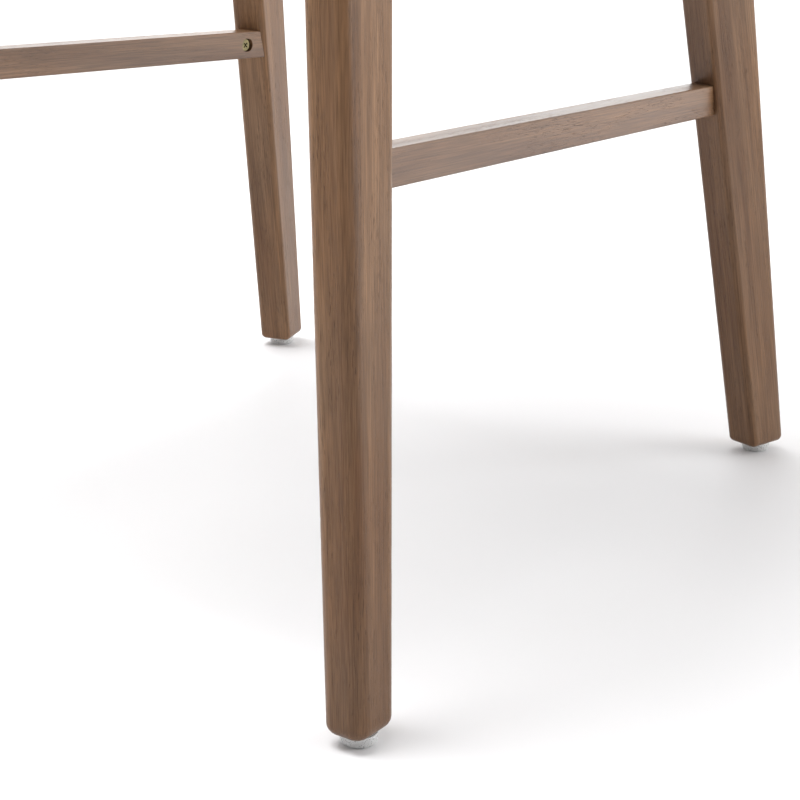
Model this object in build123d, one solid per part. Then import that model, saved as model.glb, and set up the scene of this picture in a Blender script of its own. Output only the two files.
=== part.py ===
from build123d import *
import math
import os

# Bar stool with a footrest: four splayed wooden legs, low side stretchers, a front footrest rail,
# an apron frame and an upholstered seat with a low curved back. Millimetres, +Z up, front at -Y.
# The origin is on the floor, at the centre of the stool's extents.

# ---- floor stance and legs ----
glide_height = 6.0
glide_radius = 9.5
glide_edge = 1.8
leg_top = 700.0                 # the front and rear legs end under the seat panel

leg_thick = 25.4                # all four legs are cut from the same stock

front_foot = (245.0, -265.3)    # where the leg axes meet the floor (right-hand side)
front_lean = (0.0843, -0.0743)  # inward and rearward splay per millimetre of height
front_deep = (31.8, 0.0284)     # front to back: width at the floor and growth per millimetre
front_edge = (8.3, 4.0)         # corner radius at the floor and at the top

rear_foot = (216.0, 263.5)
rear_lean = (0.0735, 0.1975)
rear_deep = (32.2, 0.0396)
rear_edge = (4.6, 2.0)
rear_toe_out = 15.9             # degrees that the rear legs are turned about the vertical

front_rounding = 6.5            # of the foot's lower edge
rear_rounding = 4.2

# ---- rails ----
rail_width = 17.0
rail_height = 20.0
rail_edge = 1.2
rail_spare = 60.0               # extra length of a rail before it is trimmed against the legs
side_rail_z = (280.3, 256.9)    # centre height at the front and at the rear leg
side_rail_x = (210.0, 189.3)    # centre line distance from the middle, front and rear
cross_rail_z = 384.0            # front footrest and rear stretcher

apron_height = 56.0
apron_thick = 16.0
apron_z = leg_top - apron_height / 2

# ---- fittings ----
cam_radius = 4.5
cam_depth = 9.0
cam_edge = 0.4
cam_recess = 1.2                # the nut sits below the rail's surface
cam_hole_radius = 4.9
cam_hole_slack = 1.8            # the pocket is longer than the nut, towards the leg
cam_slot = (4.8, 1.0, 2.4)      # length, width and depth of each arm of its cross recess
cam_from_end = 15.0
cam_bolt_radius = 2.0
cam_bolt_in_leg = 11.0
cut_over = 1.0                  # a pocket's cutter starts this far outside the wood
dowel_radius = 4.0
dowel_half = 12.0
dowel_spacing = 26.0
dowel_edge = 0.8

# ---- seat and back ----
panel_thick = 12.0
seat_half_width = 218.0
seat_front_y = -255.0
seat_rear_y = 175.0
seat_front_corner = 48.0
seat_rear_corner = 76.0
cushion_height = 50.0
cushion_round = 18.0
seat_skin = 2.2                 # thickness of the seat's fabric and its padding layer
dust_cover_thick = 1.0
dust_gap = 2.5                  # between the dust cover and the aprons

back_front_y = -70.0            # where the back's two arms end
shell_gap = 0.3
shell_thick = 10.0
back_foam_thick = 26.0
back_skin = 2.5
shell_bottom = 690.0
back_pad_bottom = 770.0
back_rear_top = 948.0           # top of the shell at the rear and at its two front ends
back_end_top = 846.0
back_trim_spare = 60.0          # the back's bands start this much too tall, before their top is cut

block_depth = 28.0
block_near = 24.0               # the corner blocks' short and long sides, from the aprons' corner
block_far = 56.0
screw_inset = 2.0               # from the block's middle line towards the inside of the corner
block_bury = 5.0                # how far the block reaches into the aprons before it is cut back
screw_radius = 2.2
screw_head_radius = 4.5
screw_head_thick = 2.6
panel_screw_length = 37.0
back_bolt_length = 34.0
back_bolt_spacing = 85.0
nail_radius = 1.0
nail_length = 16.0
nail_head_radius = 2.4
nail_head_thick = 0.8
nail_sink = 1.6                 # depth of the nail's head in the glide

panel_bottom = leg_top
panel_top = leg_top + panel_thick


class Leg:
    """A straight tapered leg of rounded rectangular section that leans in two directions."""

    def __init__(self, foot, lean, deep, edge, rounding, toe_out, side):
        self.foot, self.lean, self.deep, self.edge, self.rounding = foot, lean, deep, edge, rounding
        self.side = side
        self.toe = math.radians(toe_out) * side
        self.along = Vector(math.sin(self.toe), math.cos(self.toe), 0)
        self.across = Vector(math.cos(self.toe), -math.sin(self.toe), 0)

    def axis(self, z):
        return Vector(self.side * (self.foot[0] - self.lean[0] * z), self.foot[1] - self.lean[1] * z, z)

    def depth(self, z):
        return self.deep[0] + self.deep[1] * z

    def corner(self, z, i, j):
        return self.axis(z) + self.across * (i * leg_thick / 2) + self.along * (j * self.depth(z) / 2)

    def section(self, z, radius):
        plane = Plane(origin=self.axis(z), x_dir=self.across, z_dir=(0, 0, 1))
        return plane * RectangleRounded(leg_thick, self.depth(z), radius)

    def face_plane(self, i, j):
        """The plane of the face on side i (across) or j (along), with its normal pointing out."""
        low, high = glide_height, leg_top
        if i:
            a, b, c = self.corner(low, i, -1), self.corner(low, i, 1), self.corner(high, i, -1)
            outward = self.across * i
        else:
            a, b, c = self.corner(low, -1, j), self.corner(low, 1, j), self.corner(high, -1, j)
            outward = self.along * j
        normal = (b - a).cross(c - a).normalized()
        if normal.dot(outward) < 0:
            normal = normal * -1
        return Plane(origin=a, x_dir=(b - a), z_dir=normal)

    def solid(self):
        body = loft([self.section(glide_height, self.edge[0]), self.section(leg_top, self.edge[1])], ruled=True)
        return fillet(body.faces().sort_by(Axis.Z)[0].edges(), self.rounding)


def bar(start, end, width, height, lean=0.0, edge=rail_edge):
    """A rail through two centre points, a little too long, its section leaning sideways."""
    direction = (end - start).normalized()
    sideways = Vector(0, 0, 1).cross(direction).normalized()
    plane = Plane(origin=start - direction * rail_spare, x_dir=sideways, z_dir=direction)
    shift = lean * height / 2
    outline = Polyline(
        (-width / 2 - shift, -height / 2),
        (width / 2 - shift, -height / 2),
        (width / 2 + shift, height / 2),
        (-width / 2 + shift, height / 2),
        close=True,
    )
    profile = make_face(outline)
    profile = fillet(profile.vertices(), edge)
    return extrude(plane * profile, amount=(end - start).length + 2 * rail_spare)


def trim(body, *planes):
    """Cuts a rail off at each plane, keeping the side that the plane's normal points to."""
    for plane in planes:
        body = split(body, bisect_by=plane, keep=Keep.TOP)
    return body


def rod(start, direction, radius, length):
    return extrude(Plane(origin=start, z_dir=direction) * Circle(radius), amount=length)


def meet(plane, start, direction):
    """The point where a line crosses a plane."""
    travel = (plane.origin - start).dot(plane.z_dir) / direction.dot(plane.z_dir)
    return start + direction * travel


# ---------------------------------------------------------------- legs
front = {s: Leg(front_foot, front_lean, front_deep, front_edge, front_rounding, 0.0, s) for s in (-1, 1)}
rear = {s: Leg(rear_foot, rear_lean, rear_deep, rear_edge, rear_rounding, rear_toe_out, s) for s in (-1, 1)}
side_name = {-1: "left", 1: "right"}
legs = {}
for s in (-1, 1):
    legs["leg_front_" + side_name[s]] = front[s].solid()
    legs["leg_rear_" + side_name[s]] = rear[s].solid()

# ---------------------------------------------------------------- rails and aprons
rails = {}
aprons = {}
rail_ends = []          # (rail name, leg name, point where the axis meets the leg, direction into the leg)
apron_ends = []


def add_bar(group, ends, name, first_leg, last_leg, planes, start, end, **size):
    group[name] = trim(bar(start, end, **size), *planes)
    direction = (end - start).normalized()
    ends.append((name, first_leg, meet(planes[0], start, direction), direction * -1))
    ends.append((name, last_leg, meet(planes[1], end, direction), direction))


for s in (-1, 1):
    planes = (front[s].face_plane(0, 1), rear[s].face_plane(0, -1))
    side = side_name[s]
    add_bar(
        rails, rail_ends, "side_stretcher_" + side, "leg_front_" + side, "leg_rear_" + side, planes,
        Vector(s * side_rail_x[0], front[s].axis(side_rail_z[0]).Y, side_rail_z[0]),
        Vector(s * side_rail_x[1], rear[s].axis(side_rail_z[1]).Y, side_rail_z[1]),
        width=rail_width, height=rail_height,
    )
    add_bar(
        aprons, apron_ends, "apron_" + side, "leg_front_" + side, "leg_rear_" + side, planes,
        front[s].axis(apron_z), rear[s].axis(apron_z),
        width=apron_thick, height=apron_height, lean=s * front_lean[0],
    )

for name, pair, lean in (("front", front, front_lean[1]), ("rear", rear, rear_lean[1])):
    planes = (pair[-1].face_plane(1, 0), pair[1].face_plane(-1, 0))
    left_leg, right_leg = "leg_" + name + "_left", "leg_" + name + "_right"
    rail_name = "front_footrest_rail" if name == "front" else "rear_stretcher"
    add_bar(
        rails, rail_ends, rail_name, left_leg, right_leg, planes,
        pair[-1].axis(cross_rail_z), pair[1].axis(cross_rail_z),
        width=rail_width, height=rail_height,
    )
    add_bar(
        aprons, apron_ends, "apron_" + name, left_leg, right_leg, planes,
        pair[-1].axis(apron_z), pair[1].axis(apron_z),
        width=apron_thick, height=apron_height, lean=-lean,
    )

# ---------------------------------------------------------------- cam fittings of the rails
pocket_length = cam_depth + cam_recess + cut_over


def slab(mouth, inward, into_leg):
    """The middle of a pocket's oblong, between its two round ends."""
    centre = mouth + into_leg * (cam_hole_slack / 2)
    plane = Plane(origin=centre, x_dir=into_leg, z_dir=inward * -1)
    return extrude(plane * Rectangle(cam_hole_slack, 2 * cam_hole_radius), amount=pocket_length)


cams = []
cam_bolts = []
for rail_name, leg_name, end_point, into_leg in rail_ends:
    cam_centre = end_point - into_leg * cam_from_end
    inward = Vector(-cam_centre.X, 0, 0) if rail_name.startswith("side") else Vector(0, -cam_centre.Y, 0)
    inward = (inward - into_leg * inward.dot(into_leg)).normalized()
    mouth = cam_centre + inward * (rail_width / 2)
    bolt = rod(cam_centre, into_leg, cam_bolt_radius, cam_from_end + cam_bolt_in_leg)
    cutter_start = mouth + inward * cut_over
    pocket = rod(cutter_start, inward * -1, cam_hole_radius, pocket_length)
    pocket_end = Pos(*(into_leg * cam_hole_slack)) * pocket
    pocket = pocket + pocket_end + slab(cutter_start, inward, into_leg)
    face = mouth - inward * cam_recess
    cam = rod(face, inward * -1, cam_radius, cam_depth)
    cam = fillet(cam.edges().filter_by(GeomType.CIRCLE), cam_edge)
    cross_plane = Plane(origin=face, x_dir=into_leg, z_dir=inward * -1)
    for turn in (45, 135):
        slot = cross_plane * Rot(0, 0, turn) * Rectangle(cam_slot[0], cam_slot[1])
        cam = cam - extrude(slot, amount=cam_slot[2])
    cam = cam - bolt
    rails[rail_name] = rails[rail_name] - pocket - bolt
    legs[leg_name] = legs[leg_name] - bolt
    cams.append(cam)
    cam_bolts.append(bolt)

# ---------------------------------------------------------------- dowels of the aprons
dowels = []
for apron_name, leg_name, end_point, into_leg in apron_ends:
    for step in (-0.5, 0.5):
        centre = end_point + Vector(0, 0, step * dowel_spacing)
        dowel = rod(centre - into_leg * dowel_half, into_leg, dowel_radius, 2 * dowel_half)
        dowel = chamfer(dowel.edges().filter_by(GeomType.CIRCLE), dowel_edge)
        aprons[apron_name] = aprons[apron_name] - dowel
        legs[leg_name] = legs[leg_name] - dowel
        dowels.append(dowel)

# ---------------------------------------------------------------- glides
glides = {}
nails = []
for leg_name, leg in (
    ("front_left", front[-1]), ("front_right", front[1]), ("rear_left", rear[-1]), ("rear_right", rear[1]),
):
    centre = leg.axis(glide_height)
    base = Vector(centre.X, centre.Y, 0)
    nail_start = base + Vector(0, 0, nail_sink)
    nail = rod(nail_start, Vector(0, 0, 1), nail_radius, nail_length)
    nail = nail + rod(nail_start, Vector(0, 0, 1), nail_head_radius, nail_head_thick)
    glide = rod(base, Vector(0, 0, 1), glide_radius, glide_height)
    glide = fillet(glide.edges().sort_by(Axis.Z)[0], glide_edge)
    glide = glide - rod(base, Vector(0, 0, 1), nail_head_radius, nail_sink) - nail
    glides["glide_" + leg_name] = glide
    legs["leg_" + leg_name] = legs["leg_" + leg_name] - nail
    nails.append(nail)


def stack(sketch, bottom, top):
    return extrude(Plane.XY.offset(bottom) * sketch, amount=top - bottom)


def seat_outline(grow):
    """The seat seen from above, a rectangle with rounded corners that are larger at the rear."""
    depth = seat_rear_y - seat_front_y + 2 * grow
    outline = Pos(0, (seat_rear_y + seat_front_y) / 2) * Rectangle(2 * (seat_half_width + grow), depth)
    front_corners = outline.vertices().group_by(Axis.Y)[0]
    outline = fillet(front_corners, seat_front_corner + grow)
    rear_corners = outline.vertices().group_by(Axis.Y)[-1]
    return fillet(rear_corners, seat_rear_corner + grow)


# ---------------------------------------------------------------- corner blocks and seat screws
blocks = []
seat_screws = []
block_top = panel_bottom - dust_cover_thick
for pair, inward_y in ((front, 1), (rear, -1)):
    for s in (-1, 1):
        corner = pair[s].axis(apron_z) + Vector(-s * apron_thick / 2, inward_y * apron_thick / 2, 0)
        outline = [
            (corner.X + s * block_bury, corner.Y + inward_y * block_far),
            (corner.X + s * block_bury, corner.Y + inward_y * block_near),
            (corner.X - s * block_near, corner.Y - inward_y * block_bury),
            (corner.X - s * block_far, corner.Y - inward_y * block_bury),
        ]
        block = stack(make_face(Polyline(*outline, close=True)), block_top - block_depth, block_top)
        for neighbour in [*aprons.values(), *legs.values()]:
            block = block - neighbour
        block = block.solids().sort_by(SortBy.VOLUME)[-1]
        reach = (block_near + block_far) / 4 + screw_inset
        screw_start = Vector(corner.X - s * reach, corner.Y + inward_y * reach, block_top - block_depth)
        screw = rod(screw_start, Vector(0, 0, 1), screw_radius, panel_screw_length)
        screw = screw + rod(screw_start, Vector(0, 0, -1), screw_head_radius, screw_head_thick)
        blocks.append(block - screw)
        seat_screws.append(screw)

# ---------------------------------------------------------------- seat
seat_panel = stack(seat_outline(0), panel_bottom, panel_top)
dust_inset = apron_thick / 2 + dust_gap
dust_front, dust_rear = front[1].axis(leg_top), rear[1].axis(leg_top)
dust_outline = Polyline(
    (dust_inset - dust_front.X, dust_front.Y + dust_inset),
    (dust_front.X - dust_inset, dust_front.Y + dust_inset),
    (dust_rear.X - dust_inset, dust_rear.Y - dust_inset),
    (dust_inset - dust_rear.X, dust_rear.Y - dust_inset),
    close=True,
)
dust_sheet = make_face(dust_outline)
dust_cover = stack(dust_sheet, panel_bottom - dust_cover_thick, panel_bottom)
for leg in legs.values():
    dust_cover = dust_cover - leg
for screw in seat_screws:
    seat_panel = seat_panel - screw
    dust_cover = dust_cover - screw

cushion_top = panel_top + cushion_height
seat_foam = stack(seat_outline(0), panel_top, cushion_top)
seat_foam = fillet(seat_foam.faces().sort_by(Axis.Z)[-1].edges(), cushion_round)
seat_cover = stack(seat_outline(seat_skin), panel_bottom, cushion_top + seat_skin)
seat_cover = fillet(seat_cover.faces().sort_by(Axis.Z)[-1].edges(), cushion_round + seat_skin)
seat_cover = seat_cover - stack(seat_outline(0), panel_bottom, panel_top) - seat_foam

# ---------------------------------------------------------------- back
shell_in = seat_skin + shell_gap            # how far the back's layers stand outside the seat's outline
shell_out = shell_in + shell_thick
pad_in = shell_in - back_foam_thick
top_slope = (back_rear_top - back_end_top) / (seat_rear_y + shell_out - back_front_y)


def back_ring(inner, outer, front_y, bottom, raise_top):
    """A band round the rear and the sides of the seat, its top sloping down towards the front."""
    reach = 2 * seat_half_width             # well beyond the seat
    ahead = Pos(0, front_y - reach / 2) * Rectangle(2 * reach, reach)
    band = stack(seat_outline(outer) - seat_outline(inner) - ahead, bottom, back_rear_top + back_trim_spare)
    origin = Vector(0, back_front_y, back_end_top + raise_top)
    return split(band, bisect_by=Plane(origin=origin, z_dir=(0, -top_slope, 1)), keep=Keep.BOTTOM)


back_shell = back_ring(shell_in, shell_out, back_front_y, shell_bottom, 0)
back_foam = back_ring(pad_in, shell_in, back_front_y, back_pad_bottom, 0)
cover_front_y = back_front_y - back_skin
outer_cover = back_ring(shell_in, shell_out + back_skin, cover_front_y, shell_bottom, back_skin)
inner_cover = back_ring(
    pad_in - back_skin, shell_in + shell_thick / 2, cover_front_y, back_pad_bottom - back_skin, back_skin,
)
back_cover = outer_cover + inner_cover - back_foam - back_shell

back_bolts = []
bolt_z = (panel_bottom + panel_top) / 2
bolt_places = [((x, seat_rear_y + shell_out), (0, -1)) for x in (-back_bolt_spacing, 0, back_bolt_spacing)]
for s in (-1, 1):
    for step in (-0.5, 0.5):
        y = step * back_bolt_spacing
        bolt_places.append(((s * (seat_half_width + shell_out), y), (-s, 0)))
for place, inward in bolt_places:
    head_start = Vector(*place, bolt_z)
    direction = Vector(*inward, 0)
    bolt = rod(head_start, direction, screw_radius, back_bolt_length)
    bolt = bolt + rod(head_start, direction, screw_head_radius, screw_head_thick)
    back_shell = back_shell - bolt
    seat_panel = seat_panel - bolt
    seat_cover = seat_cover - bolt
    back_bolts.append(bolt)

# ---------------------------------------------------------------- nodes
parts = {}
parts.update(legs)
parts.update(rails)
parts.update(aprons)
parts["rail_cam_nuts"] = Compound(children=cams)
parts["rail_cam_bolts"] = Compound(children=cam_bolts)
parts["apron_dowels"] = Compound(children=dowels)
parts.update(glides)
parts["glide_nails"] = Compound(children=nails)
parts["corner_blocks"] = Compound(children=blocks)
parts["seat_screws"] = Compound(children=seat_screws)
parts["seat_panel"] = seat_panel
parts["seat_foam"] = seat_foam
parts["seat_cover"] = seat_cover
parts["dust_cover"] = dust_cover
parts["back_shell"] = back_shell
parts["back_foam"] = back_foam
parts["back_cover"] = back_cover
parts["back_bolts"] = Compound(children=back_bolts)

os.makedirs("parts", exist_ok=True)
for name, shape in parts.items():
    export_step(shape, "parts/" + name + ".step")
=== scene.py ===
import bmesh
import bpy
import math
from mathutils import Euler, Matrix, Vector, noise


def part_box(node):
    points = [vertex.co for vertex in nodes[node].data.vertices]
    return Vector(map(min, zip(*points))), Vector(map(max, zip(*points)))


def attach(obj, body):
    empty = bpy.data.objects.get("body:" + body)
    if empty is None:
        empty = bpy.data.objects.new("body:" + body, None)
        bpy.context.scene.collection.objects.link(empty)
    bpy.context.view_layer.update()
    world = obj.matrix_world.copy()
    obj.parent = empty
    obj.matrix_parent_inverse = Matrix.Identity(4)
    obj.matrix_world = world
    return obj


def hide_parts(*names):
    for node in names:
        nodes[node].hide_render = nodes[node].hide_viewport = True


# A bar stool with a footrest: stained wooden frame, upholstered seat and low curved back.
# Metres, +Z up, the stool's front at -Y.

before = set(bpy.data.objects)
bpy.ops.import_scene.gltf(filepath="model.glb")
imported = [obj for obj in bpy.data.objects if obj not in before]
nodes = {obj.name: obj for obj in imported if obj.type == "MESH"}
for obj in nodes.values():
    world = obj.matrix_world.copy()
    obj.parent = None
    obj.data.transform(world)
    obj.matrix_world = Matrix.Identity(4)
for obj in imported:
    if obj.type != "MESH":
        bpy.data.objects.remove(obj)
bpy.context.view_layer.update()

# ---------------------------------------------------------------- sizes taken from the frame
panel_low, panel_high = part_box("seat_panel")
foam_low, foam_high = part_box("seat_foam")
shell_low, shell_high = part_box("back_shell")
pad_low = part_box("back_foam")[0]

seat_half = (foam_high.x - foam_low.x) / 2
seat_depth_half = (foam_high.y - foam_low.y) / 2
seat_mid_y = (foam_high.y + foam_low.y) / 2
front_corner = 0.048            # corner radii of the seat's outline
rear_corner = 0.076
shell_in = 0.0025               # how far the shell's inner and outer faces stand outside that outline
shell_out = shell_high.x - seat_half
back_drop = 0.102               # the shell's top is this much lower at its two front ends
back_slope = back_drop / (shell_high.y - shell_low.y)
back_end_top = shell_high.z - back_drop


def outline_distance(x, y):
    """Signed distance from the seat's outline, positive outside."""
    corner = front_corner if y < seat_mid_y else rear_corner
    qx = abs(x) - seat_half + corner
    qy = abs(y - seat_mid_y) - seat_depth_half + corner
    return min(max(qx, qy), 0.0) + math.hypot(max(qx, 0.0), max(qy, 0.0)) - corner


def back_top(y):
    """Height of the shell's sloping top edge."""
    return back_end_top + back_slope * (y - shell_low.y)


def horseshoe(grow, front_y, steps=24, arc_steps=20):
    """Points and outward normals round the seat's sides and rear, from the left arm to the right."""
    radius = rear_corner + grow
    side_x = seat_half + grow
    arc_y = foam_high.y - rear_corner
    arc_x = seat_half - rear_corner
    places = []
    for i in range(steps):
        y = front_y + (arc_y - front_y) * i / steps
        places.append((Vector((-side_x, y, 0)), Vector((-1, 0, 0))))
    for i in range(arc_steps):
        a = math.pi - math.pi / 2 * i / arc_steps
        n = Vector((math.cos(a), math.sin(a), 0))
        places.append((Vector((-arc_x, arc_y, 0)) + n * radius, n))
    for i in range(steps + 1):
        x = -arc_x + 2 * arc_x * i / steps
        places.append((Vector((x, arc_y + radius, 0)), Vector((0, 1, 0))))
    for i in range(1, arc_steps + 1):
        a = math.pi / 2 - math.pi / 2 * i / arc_steps
        n = Vector((math.cos(a), math.sin(a), 0))
        places.append((Vector((arc_x, arc_y, 0)) + n * radius, n))
    for i in range(1, steps + 1):
        y = arc_y + (front_y - arc_y) * i / steps
        places.append((Vector((side_x, y, 0)), Vector((1, 0, 0))))
    return places


def seat_loop(grow, arc_steps=14, steps=16):
    """Points and outward normals right round the seat, starting at the front right corner."""
    corners = []
    for sx, sy, r, start in (
        (1, -1, front_corner, -math.pi / 2), (1, 1, rear_corner, 0.0),
        (-1, 1, rear_corner, math.pi / 2), (-1, -1, front_corner, math.pi),
    ):
        centre = Vector((sx * (seat_half - r), seat_mid_y + sy * (seat_depth_half - r), 0))
        corners.append((centre, r + grow, start))
    places = []
    for k, (centre, radius, start) in enumerate(corners):
        for i in range(arc_steps + 1):
            a = start + math.pi / 2 * i / arc_steps
            n = Vector((math.cos(a), math.sin(a), 0))
            places.append((centre + n * radius, n))
        after, after_radius, after_start = corners[(k + 1) % 4]
        n = Vector((math.cos(after_start), math.sin(after_start), 0))
        here, there = places[-1][0], after + n * after_radius
        for i in range(1, steps):
            places.append((here.lerp(there, i / steps), n))
    return places


# ---------------------------------------------------------------- node helpers
class Shader:
    """A material under construction, with short calls for the nodes that it needs."""

    def __init__(self, name):
        self.material = bpy.data.materials.new(name)
        self.material.use_nodes = True
        self.tree = self.material.node_tree
        self.surface = self.tree.nodes["Principled BSDF"]
        self.place = self.tree.nodes.new("ShaderNodeTexCoord").outputs["Object"]

    def node(self, kind, **settings):
        made = self.tree.nodes.new("ShaderNode" + kind)
        for key, value in settings.items():
            setattr(made, key, value)
        return made

    def feed(self, socket, value):
        if isinstance(value, bpy.types.NodeSocket):
            self.tree.links.new(value, socket)
        else:
            socket.default_value = value

    def mapped(self, vector, scale=(1, 1, 1), rotation=(0, 0, 0), location=(0, 0, 0)):
        n = self.node("Mapping")
        self.feed(n.inputs["Vector"], vector)
        n.inputs["Scale"].default_value = scale
        n.inputs["Rotation"].default_value = rotation
        n.inputs["Location"].default_value = location
        return n.outputs["Vector"]

    def noise(self, vector, scale=1.0, detail=2.0, rough=0.5, distortion=0.0):
        n = self.node("TexNoise")
        self.feed(n.inputs["Vector"], vector)
        n.inputs["Scale"].default_value = scale
        n.inputs["Detail"].default_value = detail
        n.inputs["Roughness"].default_value = rough
        n.inputs["Distortion"].default_value = distortion
        return n.outputs["Fac"]

    def math(self, operation, a, b=0.0):
        n = self.node("Math", operation=operation)
        self.feed(n.inputs[0], a)
        self.feed(n.inputs[1], b)
        return n.outputs[0]

    def band(self, value, low, high, out_low=0.0, out_high=1.0):
        n = self.node("MapRange")
        self.feed(n.inputs["Value"], value)
        for key, number in (("From Min", low), ("From Max", high), ("To Min", out_low), ("To Max", out_high)):
            n.inputs[key].default_value = number
        return n.outputs["Result"]

    def blend(self, factor, a, b, mode="MIX"):
        n = self.node("Mix", data_type="RGBA", blend_type=mode)
        self.feed(n.inputs["Factor"], factor)
        self.feed(n.inputs["A"], a if isinstance(a, bpy.types.NodeSocket) else (*a, 1.0))
        self.feed(n.inputs["B"], b if isinstance(b, bpy.types.NodeSocket) else (*b, 1.0))
        return n.outputs["Result"]

    def bump(self, height, strength, distance, normal=None):
        n = self.node("Bump")
        self.feed(n.inputs["Height"], height)
        n.inputs["Strength"].default_value = strength
        n.inputs["Distance"].default_value = distance
        if normal is not None:
            self.feed(n.inputs["Normal"], normal)
        return n.outputs["Normal"]

    def finish(self, colour, roughness, normal=None, **constants):
        self.feed(self.surface.inputs["Base Color"], colour)
        self.feed(self.surface.inputs["Roughness"], roughness)
        if normal is not None:
            self.feed(self.surface.inputs["Normal"], normal)
        for key, value in constants.items():
            self.surface.inputs[key.replace("_", " ").title().replace("Ior", "IOR")].default_value = value
        return self.material


# ---------------------------------------------------------------- materials
stain_dark = (0.116, 0.052, 0.022)
stain_mid = (0.196, 0.100, 0.046)
stain_light = (0.276, 0.152, 0.078)
stain_grey = (0.186, 0.114, 0.068)
pore_colour = (0.034, 0.016, 0.009)
leg_shine = 0.3                 # specular level of the legs and aprons
rail_shine = 0.8                # the rails are rubbed smoother
board_step = (0.37, 0.61, 0.83)     # each board shows another part of the same grain


def stained_wood(name, along, shift, shine):
    """Open-grained wood under a brown stain, its grain running along a direction."""
    s = Shader(name)
    turn = along.rotation_difference(Vector((0, 0, 1))).to_euler()
    board = s.mapped(s.place, rotation=turn, location=shift)
    broad = s.noise(s.mapped(board, scale=(38, 38, 2.2)), detail=3, rough=0.55, distortion=0.6)
    figure = s.noise(s.mapped(board, scale=(150, 150, 4.5)), detail=4, rough=0.6, distortion=0.35)
    fine = s.noise(s.mapped(board, scale=(1500, 1500, 26)), detail=2, rough=0.6)
    cloud = s.noise(s.mapped(board, scale=(16, 16, 7)), detail=2)
    pores = s.noise(s.mapped(board, scale=(2800, 2800, 150)), detail=1, rough=0.4)
    clusters = s.noise(s.mapped(board, scale=(130, 130, 14)), detail=2)

    colour = s.blend(s.band(figure, 0.36, 0.66), stain_mid, stain_light)
    colour = s.blend(s.band(broad, 0.40, 0.70), colour, stain_dark)
    colour = s.blend(s.band(cloud, 0.42, 0.72, 0.0, 0.55), colour, stain_grey)
    shade = s.band(fine, 0.32, 0.70, 0.70, 1.24)
    tint = s.node("CombineColor")
    for channel in ("Red", "Green", "Blue"):
        s.feed(tint.inputs[channel], shade)
    colour = s.blend(1.0, colour, tint.outputs["Color"], mode="MULTIPLY")
    pore = s.math("MULTIPLY", s.band(pores, 0.61, 0.68), s.band(clusters, 0.36, 0.60))
    colour = s.blend(s.math("MULTIPLY", pore, 0.55), colour, pore_colour)

    rough = s.band(figure, 0.3, 0.7, 0.29, 0.38)
    rough = s.math("ADD", rough, s.math("MULTIPLY", pore, 0.25))
    grain = s.bump(fine, 0.16, 0.0004)
    grain = s.bump(s.math("MULTIPLY", pore, -1.0), 0.5, 0.0003, grain)
    return s.finish(colour, rough, grain, ior=1.46, specular_ior_level=shine)


def bare_wood(name, along, shift, light, dark):
    """Sanded, unfinished wood."""
    s = Shader(name)
    turn = along.rotation_difference(Vector((0, 0, 1))).to_euler()
    board = s.mapped(s.place, rotation=turn, location=shift)
    figure = s.noise(s.mapped(board, scale=(120, 120, 5)), detail=4, rough=0.6, distortion=0.5)
    fine = s.noise(s.mapped(board, scale=(900, 900, 30)), detail=2)
    colour = s.blend(s.band(figure, 0.35, 0.65), light, dark)
    colour = s.blend(s.band(fine, 0.45, 0.8, 0.0, 0.35), colour, dark)
    return s.finish(colour, s.band(fine, 0.3, 0.7, 0.6, 0.78), s.bump(fine, 0.25, 0.0004), ior=1.45)


def plywood(name):
    """Thin veneers, alternately light and dark, stacked upwards."""
    s = Shader(name)
    layer = s.node("SeparateXYZ")
    s.feed(layer.inputs[0], s.place)
    ply = s.math("SINE", s.math("MULTIPLY", layer.outputs["Z"], 2 * math.pi / 0.003))
    figure = s.noise(s.mapped(s.place, scale=(14, 160, 160)), detail=4, rough=0.6, distortion=0.5)
    colour = s.blend(s.band(figure, 0.3, 0.7), (0.52, 0.37, 0.22), (0.40, 0.26, 0.14))
    colour = s.blend(s.band(ply, 0.2, 0.8, 0.0, 0.35), colour, (0.27, 0.165, 0.085))
    return s.finish(colour, 0.7, s.bump(figure, 0.2, 0.0004), ior=1.45)


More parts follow.
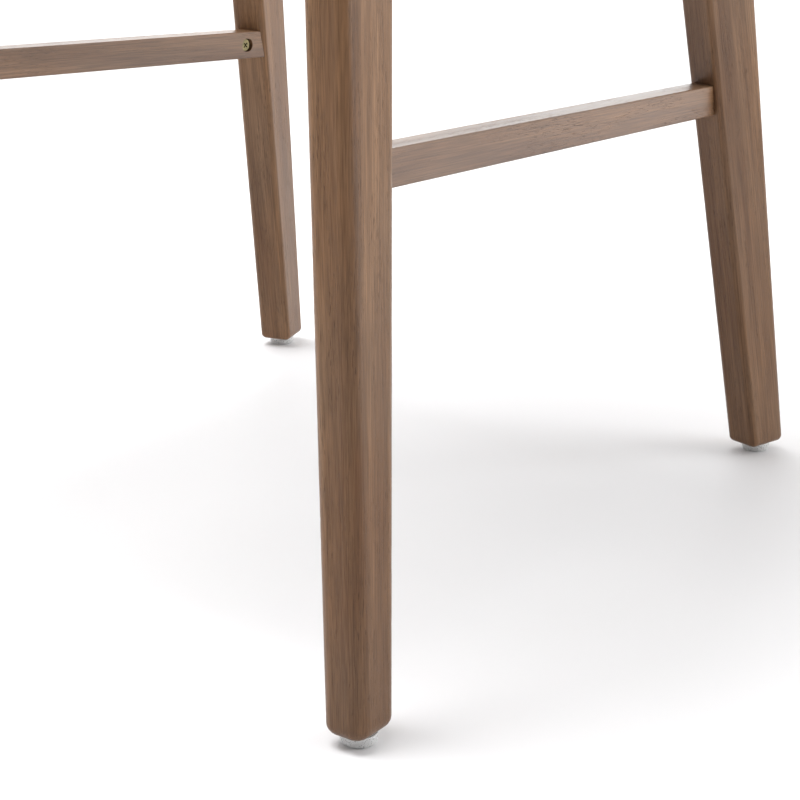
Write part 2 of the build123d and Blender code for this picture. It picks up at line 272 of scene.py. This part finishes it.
def woven(name, light, dark, pitch=0.0017):
    """A plain weave of heathered yarn, laid on each surface along its own two directions."""
    s = Shader(name)
    wobble = s.noise(s.place, scale=45, detail=2)
    sway = s.math("MULTIPLY", s.math("SUBTRACT", wobble, 0.5), 3.0)
    split = s.node("SeparateXYZ")
    s.feed(split.inputs[0], s.place)
    normal = s.node("SeparateXYZ")
    s.feed(normal.inputs[0], s.node("NewGeometry").outputs["Normal"])
    waves = []
    weights = []
    for axis in "XYZ":
        phase = s.math("ADD", s.math("MULTIPLY", split.outputs[axis], 2 * math.pi / pitch), sway)
        waves.append(s.math("SINE", phase))
        weights.append(s.math("POWER", s.math("ABSOLUTE", normal.outputs[axis]), 3.0))
    total = s.math("ADD", s.math("ADD", weights[0], weights[1]), weights[2])
    weave = 0.0
    for k in range(3):
        crossing = s.math("MULTIPLY", waves[(k + 1) % 3], waves[(k + 2) % 3])
        weave = s.math("ADD", s.math("MULTIPLY", crossing, s.math("DIVIDE", weights[k], total)), weave)
    yarn_x = s.noise(s.mapped(s.place, scale=(90, 700, 700)), detail=2, rough=0.6)
    yarn_z = s.noise(s.mapped(s.place, scale=(700, 700, 90)), detail=2, rough=0.6)
    yarn = s.math("MULTIPLY", s.math("ADD", yarn_x, yarn_z), 0.5)
    heather = s.noise(s.place, scale=260, detail=3, rough=0.65)
    fade = s.noise(s.place, scale=9, detail=2)
    colour = s.blend(s.band(yarn, 0.38, 0.62), light, dark)
    colour = s.blend(s.band(heather, 0.52, 0.75, 0.0, 0.6), colour, dark)
    # painted shade: the weave's low crossings, where its relief sinks, are darkened
    colour = s.blend(s.band(weave, -0.2, -1.0, 0.0, 0.42), colour, tuple(0.55 * c for c in dark))
    colour = s.blend(s.band(fade, 0.35, 0.75, 0.0, 0.16), colour, light)
    relief = s.math("ADD", s.math("MULTIPLY", weave, 0.5), yarn)
    return s.finish(
        colour, s.band(yarn, 0.3, 0.7, 0.78, 0.92), s.bump(relief, 0.55, 0.0006),
        ior=1.45, sheen_weight=0.35, sheen_roughness=0.45,
    )


def non_woven(name):
    """Thin black felted sheet with pressed dimples."""
    s = Shader(name)
    fibre = s.noise(s.place, scale=900, detail=3, rough=0.7)
    dimple = s.node("TexVoronoi")
    s.feed(dimple.inputs["Vector"], s.place)
    dimple.inputs["Scale"].default_value = 600
    colour = s.blend(s.band(fibre, 0.3, 0.7), (0.012, 0.012, 0.013), (0.045, 0.045, 0.047))
    height = s.math("ADD", dimple.outputs["Distance"], fibre)
    return s.finish(colour, 0.9, s.bump(height, 0.5, 0.0004), ior=1.45)


def plated(name, light, dark, roughness):
    """Zinc-plated metal with a faintly mottled passivated surface."""
    s = Shader(name)
    mottle = s.noise(s.place, scale=420, detail=3, rough=0.6)
    scratch = s.noise(s.mapped(s.place, scale=(400, 3200, 400)), detail=2)
    colour = s.blend(s.band(mottle, 0.35, 0.68), light, dark)
    rough = s.band(scratch, 0.3, 0.7, roughness - 0.07, roughness + 0.1)
    return s.finish(colour, rough, s.bump(scratch, 0.15, 0.0002), metallic=1.0)


def milky_plastic(name):
    """Milky translucent plastic, scuffed by the floor."""
    s = Shader(name)
    scuff = s.noise(s.place, scale=800, detail=3, rough=0.7)
    colour = s.blend(s.band(scuff, 0.4, 0.7), (0.95, 0.955, 0.95), (0.91, 0.915, 0.91))
    return s.finish(
        colour, s.band(scuff, 0.3, 0.7, 0.22, 0.38), s.bump(scuff, 0.12, 0.0002),
        ior=1.44, transmission_weight=0.35,
    )


def open_foam(name):
    """Yellowed foam with open cells."""
    s = Shader(name)
    cell = s.node("TexVoronoi")
    s.feed(cell.inputs["Vector"], s.place)
    cell.inputs["Scale"].default_value = 900
    # painted shade: the colour darkens towards each cell's middle, where the bump makes a hollow
    colour = s.blend(cell.outputs["Distance"], (0.60, 0.52, 0.34), (0.72, 0.66, 0.48))
    return s.finish(colour, 0.95, s.bump(cell.outputs["Distance"], 0.5, 0.0008), ior=1.4)


end_share = 0.08                # the share of a piece's length that counts as its end


def direction_of(node):
    """The long direction of a node's mesh, from the mean of its two ends."""
    points = [v.co for v in node.data.vertices]
    low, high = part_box(node.name)
    size = high - low
    axis = max(range(3), key=lambda k: size[k])
    margin = size[axis] * end_share
    first = [p for p in points if p[axis] < low[axis] + margin]
    last = [p for p in points if p[axis] > high[axis] - margin]
    start = sum(first, Vector()) / len(first)
    end = sum(last, Vector()) / len(last)
    return (end - start).normalized()


def paint(name, material):
    """Gives a CAD node its material."""
    slots = nodes[name].data.materials
    slots.clear()
    slots.append(material)


wooden = [n for n in nodes if n.startswith(("leg_", "side_stretcher", "rear_stretcher", "front_footrest"))]
wooden += [n for n in nodes if n.startswith("apron_") and n != "apron_dowels"]
for index, name in enumerate(sorted(wooden)):
    shift = tuple(step * index for step in board_step)
    shine = rail_shine if "stretcher" in name or "rail" in name else leg_shine
    paint(name, stained_wood("stained_" + name, direction_of(nodes[name]), shift, shine))

beech = bare_wood("beech_blocks", Vector((1, 0, 0)), (0, 0, 0), (0.56, 0.40, 0.25), (0.42, 0.28, 0.16))
ply = plywood("birch_plywood")
zinc = plated("zinc_steel", (0.56, 0.57, 0.58), (0.40, 0.41, 0.42), 0.34)
yellow_zinc = plated("yellow_zinc", (0.26, 0.22, 0.115), (0.15, 0.125, 0.065), 0.40)
cloth = woven("woven_upholstery", (0.430, 0.375, 0.302), (0.275, 0.228, 0.175))
for name, material in (
    ("corner_blocks", beech), ("apron_dowels", beech), ("seat_panel", ply), ("back_shell", ply),
    ("seat_screws", zinc), ("back_bolts", zinc), ("glide_nails", zinc), ("rail_cam_bolts", zinc),
    ("rail_cam_nuts", yellow_zinc), ("dust_cover", non_woven("dust_sheet")),
    ("seat_foam", open_foam("seat_foam_cells")), ("back_foam", open_foam("back_foam_cells")),
):
    paint(name, material)
glide_plastic = milky_plastic("glide_plastic")
for name in nodes:
    if name.startswith("glide_") and name != "glide_nails":
        paint(name, glide_plastic)


# ---------------------------------------------------------------- upholstery
def new_piece(name, mesh, material):
    """A smooth-shaded object in the scene."""
    piece = bpy.data.objects.new(name, mesh)
    bpy.context.scene.collection.objects.link(piece)
    mesh.materials.clear()
    mesh.materials.append(material)
    for polygon in mesh.polygons:
        polygon.use_smooth = True
    return piece


def apply_modifiers(piece):
    """Replaces the piece's mesh with what its modifiers make of it."""
    graph = bpy.context.evaluated_depsgraph_get()
    made = bpy.data.meshes.new_from_object(piece.evaluated_get(graph))
    piece.modifiers.clear()
    piece.data = made
    for polygon in made.polygons:
        polygon.use_smooth = True


def copied_solid(name, node, material, voxel):
    """A new closed mesh of a CAD solid, with even small faces."""
    mesh = nodes[node].data.copy()
    work = bmesh.new()
    work.from_mesh(mesh)
    bmesh.ops.remove_doubles(work, verts=work.verts, dist=1e-5)
    work.to_mesh(mesh)
    work.free()
    piece = new_piece(name, mesh, material)
    remesh = piece.modifiers.new("remesh", "REMESH")
    remesh.mode = "VOXEL"
    remesh.voxel_size = voxel
    apply_modifiers(piece)
    relax(piece, 4)
    return piece


swell_frames = 20


def inflate(piece, pinned, pressure, cap):
    """Lets the cloth swell under pressure, with some points held and no point moving past a cap."""
    before = [v.co.copy() for v in piece.data.vertices]
    group = piece.vertex_groups.new(name="held")
    for v in piece.data.vertices:
        hold = pinned(v.co)
        if hold > 0:
            group.add([v.index], hold, "REPLACE")
    cloth_sim = piece.modifiers.new("swell", "CLOTH")
    settings = cloth_sim.settings
    settings.quality = 6
    settings.mass = 0.3
    settings.tension_stiffness = 18
    settings.compression_stiffness = 18
    settings.shear_stiffness = 6
    settings.bending_stiffness = 1.2
    settings.use_pressure = True
    settings.uniform_pressure_force = pressure
    settings.vertex_group_mass = "held"
    settings.effector_weights.gravity = 0
    scene = bpy.context.scene
    cloth_sim.point_cache.frame_start = 1
    cloth_sim.point_cache.frame_end = swell_frames
    for f in range(1, swell_frames + 1):
        scene.frame_set(f)
    apply_modifiers(piece)
    scene.frame_set(1)
    for v, start in zip(piece.data.vertices, before):
        move = v.co - start
        if move.length > cap:
            v.co = start + move * (cap / move.length)
    piece.vertex_groups.clear()


def relax(piece, passes):
    """Evens out small creases."""
    smooth = piece.modifiers.new("relax", "SMOOTH")
    smooth.factor = 0.5
    smooth.iterations = passes
    apply_modifiers(piece)


def subdivide_once(piece):
    sub = piece.modifiers.new("fine", "SUBSURF")
    sub.levels = 1
    sub.render_levels = 1
    apply_modifiers(piece)


def displace(piece, amount):
    """Moves each vertex along its normal by amount(place, normal)."""
    mesh = piece.data
    moves = [(v.co + v.normal * amount(v.co, v.normal)) for v in mesh.vertices]
    for v, place in zip(mesh.vertices, moves):
        v.co = place
    mesh.update()


def swept(name, rings, material, closed_path, closed_ring):
    """A mesh through rings of points."""
    work = bmesh.new()
    made = [[work.verts.new(p) for p in ring] for ring in rings]
    count = len(made) if closed_path else len(made) - 1
    size = len(rings[0])
    for i in range(count):
        a, b = made[i], made[(i + 1) % len(made)]
        for j in range(size if closed_ring else size - 1):
            k = (j + 1) % size
            work.faces.new((a[j], b[j], b[k], a[k]))
    if closed_ring and not closed_path:
        work.faces.new(list(reversed(made[0])))
        work.faces.new(made[-1])
    bmesh.ops.recalc_face_normals(work, faces=work.faces)
    mesh = bpy.data.meshes.new(name)
    work.to_mesh(mesh)
    work.free()
    return new_piece(name, mesh, material)


twist_depth = 0.05              # of the cord's radius


def tube(name, path, radius, material, closed, twist_pitch, sides=10):
    """A round cord along a path, with the faint slant of wrapped fabric."""
    rings = []
    count = len(path)
    travelled = 0.0
    for i, place in enumerate(path):
        before = path[i - 1] if closed or i else path[0]
        after = path[(i + 1) % count] if closed or i < count - 1 else path[-1]
        along = (after - before).normalized()
        travelled += (place - before).length
        flat = Vector((along.y, -along.x, 0))
        side = flat.normalized() if flat.length > 1e-4 else Vector((1, 0, 0))
        up = side.cross(along).normalized()
        ring = []
        for j in range(sides):
            a = 2 * math.pi * j / sides
            r = radius * (1 + twist_depth * math.sin(a + 2 * math.pi * travelled / twist_pitch))
            ring.append(place + side * (math.cos(a) * r) + up * (math.sin(a) * r))
        rings.append(ring)
    return swept(name, rings, material, closed, True)


def resample(points, step, closed):
    """The same path with points at an even spacing."""
    points = list(points)
    if closed:
        points = points + [points[0]]
    lengths = [0.0]
    for a, b in zip(points, points[1:]):
        lengths.append(lengths[-1] + (b - a).length)
    total = lengths[-1]
    count = max(2, round(total / step))
    result = []
    k = 0
    for i in range(count + (0 if closed else 1)):
        target = total * i / count
        while k < len(lengths) - 2 and lengths[k + 1] < target:
            k += 1
        share = (target - lengths[k]) / max(lengths[k + 1] - lengths[k], 1e-9)
        result.append(points[k].lerp(points[k + 1], share))
    return result


def thicken(piece, thickness):
    """Gives a sheet of fabric its thickness, half on each side."""
    solid = piece.modifiers.new("cloth_thickness", "SOLIDIFY")
    solid.thickness = thickness
    solid.offset = 0
    apply_modifiers(piece)


def puckers(place, size, scale):
    """Small irregular gathers."""
    return size * noise.noise(place * scale)


thin_cloth = 0.0008
wrap_cloth = 0.0010
welt_radius = 0.0024
welt_point_step = 0.004
welt_twist = 0.012              # length over which the welt's wrapped fabric turns once
swell_pressure = 4.0

# ---- seat cushion
seam_above_panel = 0.004
seat_seam_z = panel_high.z + seam_above_panel
seat_voxel = 0.006
seat_held_height = 0.006        # the cushion is held to the panel up to here
seat_cap = 0.010
seat_relax = 9
seat_cushion = copied_solid("seat_cushion", "seat_foam", cloth, seat_voxel)


def seat_hold(place):
    """The lower edge is held to the panel."""
    return 1.0 if place.z < foam_low.z + seat_held_height else 0.0


inflate(seat_cushion, seat_hold, swell_pressure, seat_cap)
relax(seat_cushion, seat_relax)
subdivide_once(seat_cushion)


padding = 0.0016                # thickness of the padding layer under the fabric
crown_height = 0.004
crown_reach = 0.12              # from the seat's edge to where the crown is full
seam_pull = 0.0014              # at the lower seam, fading out over a share of the cushion's height
seam_pull_share = 0.22
seat_gather_size = 0.0008
seat_gather_scale = 38


def seat_shape(place, normal):
    """The padding layer's thickness, a crown in the middle and a pull towards the lower seam."""
    inside = min(1.0, max(0.0, -outline_distance(place.x, place.y) / crown_reach))
    height = (place.z - foam_low.z) / (foam_high.z - foam_low.z)
    crown = crown_height * inside * max(normal.z, 0.0)
    pull = seam_pull * max(0.0, 1 - height / seam_pull_share)
    gathers = puckers(place, seat_gather_size, seat_gather_scale) * (1 - inside)
    return padding + crown - pull + gathers


displace(seat_cushion, seat_shape)
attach(seat_cushion, "root")
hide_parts("seat_foam")

# ---- fabric band round the seat panel, turned under its edge
band_profile = (
    (-0.012, -0.0010), (-0.004, -0.0014), (0.0006, -0.0010), (0.0020, 0.0006), (0.0024, 0.0040),
    (0.0024, 0.0090), (0.0022, 0.0130), (0.0014, 0.0150),
)
rings = []
for place, normal in seat_loop(0.0):
    ring = [place + normal * out + Vector((0, 0, panel_low.z + up)) for out, up in band_profile]
    rings.append(ring)
seat_band = swept("seat_band", rings, cloth, True, False)
thicken(seat_band, thin_cloth)
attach(seat_band, "root")
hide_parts("seat_cover")

welt_path = [p + n * welt_radius + Vector((0, 0, seat_seam_z)) for p, n in seat_loop(0.0)]
seat_welt_points = resample(welt_path, welt_point_step, True)
seat_welt = tube("seat_welt", seat_welt_points, welt_radius, cloth, True, welt_twist)
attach(seat_welt, "root")
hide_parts("seat_cover")

# ---- back: fabric stretched over the shell's outside and its top edge
skin = 0.0016
wrap_start = 0.003              # the flat part of the outside stops this far from its ends
wrap_levels = 14
wrap_bulge = 0.0009
wrap_edge = 0.005               # radius over the outer top edge
tuck_side = 0.0005              # where the flap's edge ends, beside and in front of the shell
tuck_front = 0.0014
flap_share = 0.55               # where the front flap's middle lies, from inside to outside
wrap_front_y = shell_low.y - 0.001


def wrap_profile(top):
    """(distance outside the seat's outline, height), from under the shell to over its top."""
    out = shell_out + skin
    low = shell_low.z
    points = [
        (shell_in + 0.002, low - 0.0012), (shell_out - 0.002, low - 0.0014),
        (out - 0.0004, low - 0.0006), (out, low + wrap_start),
    ]
    for i in range(1, wrap_levels):
        share = i / wrap_levels
        bulge = wrap_bulge * math.sin(math.pi * share)
        points.append((out + bulge, low + wrap_start + (top - 2 * wrap_start - low) * share))
    for i in range(7):
        a = math.pi / 2 * i / 6
        side = out - wrap_edge + wrap_edge * math.cos(a)
        points.append((side, top + skin - wrap_edge + wrap_edge * math.sin(a)))
    points.append((shell_in + 0.0025, top + skin))
    points.append((shell_in + 0.0005, top + skin - 0.0012))
    return points


base_path = horseshoe(0.0, wrap_front_y)
rings = []
for place, normal in base_path:
    ring = []
    top = back_top(place.y)
    for out, z in wrap_profile(top):
        share = max(0.0, (z - shell_low.z) / (top - shell_low.z))
        rise = back_slope * normal.y * out * share
        ring.append(place + normal * out + Vector((0, 0, z + rise)))
    rings.append(ring)
for end in (0, -1):
    first = rings[end]
    inside_x = seat_half + shell_in
    sign = -1 if end == 0 else 1
    flap = []
    for p in first:
        flap_x = sign * inside_x + (p.x - sign * inside_x) * flap_share
        flap.append(Vector((flap_x, wrap_front_y - skin, p.z)))
    tucked = []
    for p in first:
        tucked.append(Vector((sign * (inside_x + tuck_side), wrap_front_y - tuck_front, p.z)))
    if end == 0:
        rings = [tucked, flap] + rings
    else:
        rings = rings + [flap, tucked]
back_wrap = swept("back_outer_cover", rings, cloth, False, False)
thicken(back_wrap, wrap_cloth)
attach(back_wrap, "root")
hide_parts("back_cover")

# ---- back: fabric on the shell's inner face, between the seat and the pad
lining_overlap = 0.006          # how far it goes up behind the pad
lining_low = seat_seam_z
lining_high = pad_low.z + lining_overlap
lining_steps = 8
lining_gap = 0.0007
lining_bulge = 0.0004
rings = []
for place, normal in base_path:
    ring = []
    for i in range(lining_steps + 1):
        share = i / lining_steps
        out = shell_in - lining_gap - lining_bulge * math.sin(math.pi * share)
        z = lining_low + (lining_high - lining_low) * share
        ring.append(place + normal * out + Vector((0, 0, z)))
    rings.append(ring)
back_lining = swept("back_lining", rings, cloth, False, False)
thicken(back_lining, thin_cloth)
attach(back_lining, "root")
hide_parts("back_cover")

# ---- back: inner pad
pad_voxel = 0.005
pad_held_depth = 0.004          # of the pad's outer side, where it is glued to the shell
pad_cap = 0.007
pad_relax = 6
pad_gather_size = 0.0010
pad_gather_scale = 30
pad_depth = 0.024
pad_edge_reach = 0.05           # over which the gathers at the top and bottom edges fade out
pad_crown = 0.002
back_pad = copied_solid("back_pad", "back_foam", cloth, pad_voxel)


def pad_hold(place):
    """The side towards the shell is held."""
    return 1.0 if outline_distance(place.x, place.y) > shell_in - pad_held_depth else 0.0


inflate(back_pad, pad_hold, swell_pressure, pad_cap)
relax(back_pad, pad_relax)
subdivide_once(back_pad)


def pad_shape(place, _normal):
    """The padding layer's thickness on the free side, with a slight crown and gathers at the edges."""
    inner = min(1.0, max(0.0, -outline_distance(place.x, place.y) / pad_depth))
    top_gap = back_top(place.y) - place.z
    edge = min(1.0, max(0.0, min(top_gap, place.z - pad_low.z) / pad_edge_reach))
    gathers = puckers(place, pad_gather_size, pad_gather_scale) * (1 - edge)
    return (padding + gathers + pad_crown * edge) * inner


displace(back_pad, pad_shape)
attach(back_pad, "root")
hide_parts("back_foam")

# ---- back: welt between the pad and the outer cover
welt_line = []
welt_proud = 0.0022             # the welt's line lies this far off the shell's edges
arm_front = wrap_front_y - welt_proud
left_x = -(seat_half + shell_in)
arm_top = back_top(shell_low.y) + welt_proud
drop = arm_top - pad_low.z
corner_radius = 0.010
corner_clear = 1.3              # the top run starts this many radii behind the arm's front
upright_steps = 12
corner_steps = 6
for i in range(upright_steps):
    z = pad_low.z + (drop - corner_radius) * i / upright_steps
    welt_line.append(Vector((left_x, arm_front, z)))
for i in range(corner_steps + 1):
    a = math.pi - math.pi / 2 * i / corner_steps
    centre = Vector((left_x, arm_front + corner_radius, arm_top - corner_radius))
    welt_line.append(centre + Vector((0, math.cos(a) * corner_radius, math.sin(a) * corner_radius)))
left_end = list(welt_line)
round_start_y = arm_front + corner_radius * corner_clear
for place, _ in horseshoe(shell_in, round_start_y):
    welt_line.append(Vector((place.x, place.y, back_top(place.y) + welt_proud)))
welt_line += [Vector((-p.x, p.y, p.z)) for p in reversed(left_end)]
back_welt_points = resample(welt_line, welt_point_step, False)
back_welt = tube("back_welt", back_welt_points, welt_radius, cloth, False, welt_twist)
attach(back_welt, "root")
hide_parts("back_cover")

# ---------------------------------------------------------------- studio
floor_half = 30.0
work = bmesh.new()
bmesh.ops.create_grid(work, x_segments=2, y_segments=2, size=floor_half)
floor_mesh = bpy.data.meshes.new("floor")
work.to_mesh(floor_mesh)
work.free()
floor = bpy.data.objects.new("floor", floor_mesh)
bpy.context.scene.collection.objects.link(floor)
pale = Shader("pale_floor")
# painted glow: the floor emits light, more the further it is from the stool, so that it merges into the white
# surroundings
radius = pale.node("VectorMath", operation="LENGTH")
pale.feed(radius.inputs[0], pale.place)
pale.feed(pale.surface.inputs["Emission Strength"], pale.band(radius.outputs["Value"], 2.0, 5.0))
pale.surface.inputs["Emission Color"].default_value = (0.62, 0.62, 0.62, 1.0)
pale_cloud = pale.noise(pale.place, scale=3, detail=1)
pale.finish(pale.blend(pale_cloud, (0.815, 0.815, 0.83), (0.83, 0.83, 0.84)), 0.6)
floor_mesh.materials.append(pale.material)

world = bpy.data.worlds.new("studio")
world.use_nodes = True
bpy.context.scene.world = world
tree = world.node_tree
backdrop = tree.nodes["Background"]
dark_side = Vector((0.54, -0.80, 0.10)).normalized()     # the surroundings are darker behind the camera
where = tree.nodes.new("ShaderNodeTexCoord")
facing = tree.nodes.new("ShaderNodeVectorMath")
facing.operation = "DOT_PRODUCT"
facing.inputs[1].default_value = dark_side
tree.links.new(where.outputs["Generated"], facing.inputs[0])
level = tree.nodes.new("ShaderNodeMapRange")
level.interpolation_type = "SMOOTHSTEP"
for key, number in (("From Min", -0.2), ("From Max", 0.95), ("To Min", 1.15), ("To Max", 0.12)):
    level.inputs[key].default_value = number
tree.links.new(facing.outputs["Value"], level.inputs["Value"])
ray = tree.nodes.new("ShaderNodeLightPath")
choose = tree.nodes.new("ShaderNodeMix")
tree.links.new(ray.outputs["Is Camera Ray"], choose.inputs["Factor"])
tree.links.new(level.outputs["Result"], choose.inputs["A"])
choose.inputs["B"].default_value = 1.0
tree.links.new(choose.outputs["Result"], backdrop.inputs["Strength"])
backdrop.inputs["Color"].default_value = (1.0, 0.995, 0.99, 1.0)


def softbox(name, place, target, size, power):
    """A rectangular area light that the camera doesn't see."""
    light = bpy.data.lights.new(name, "AREA")
    light.shape = "RECTANGLE"
    light.size, light.size_y = size
    light.energy = power
    lamp = bpy.data.objects.new(name, light)
    lamp.location = place
    lamp.rotation_euler = (Vector(target) - Vector(place)).to_track_quat("-Z", "Y").to_euler()
    lamp.visible_camera = False
    bpy.context.scene.collection.objects.link(lamp)


softbox("overhead", (-0.55, -0.45, 2.7), (0, 0, 0.3), (1.5, 1.5), 80)
softbox("right_back", (2.6, 1.6, 1.4), (0, 0, 0.4), (1.8, 2.2), 42)
softbox("window", (-2.3, 3.3, 1.0), (0, 0, 0.3), (3.2, 1.7), 20)

camera_place = Vector((0.7600, -0.9885, 0.4756))
camera_heading = 34.347         # degrees from +Y towards -X
camera_dip = 18.356
camera_roll = 1.103
camera_lens = 88.89
lens = bpy.data.cameras.new("camera")
lens.lens = camera_lens
lens.sensor_width = 36.0
lens.clip_start = 0.05
camera = bpy.data.objects.new("camera", lens)
aim = Euler((math.radians(90 - camera_dip), 0, math.radians(camera_heading))).to_matrix()
camera.matrix_world = (
    Matrix.Translation(camera_place)
    @ (aim @ Matrix.Rotation(math.radians(camera_roll), 3, "Z")).to_4x4()
)
bpy.context.scene.collection.objects.link(camera)
bpy.context.scene.camera = camera
bpy.context.scene.view_settings.view_transform = "Standard"
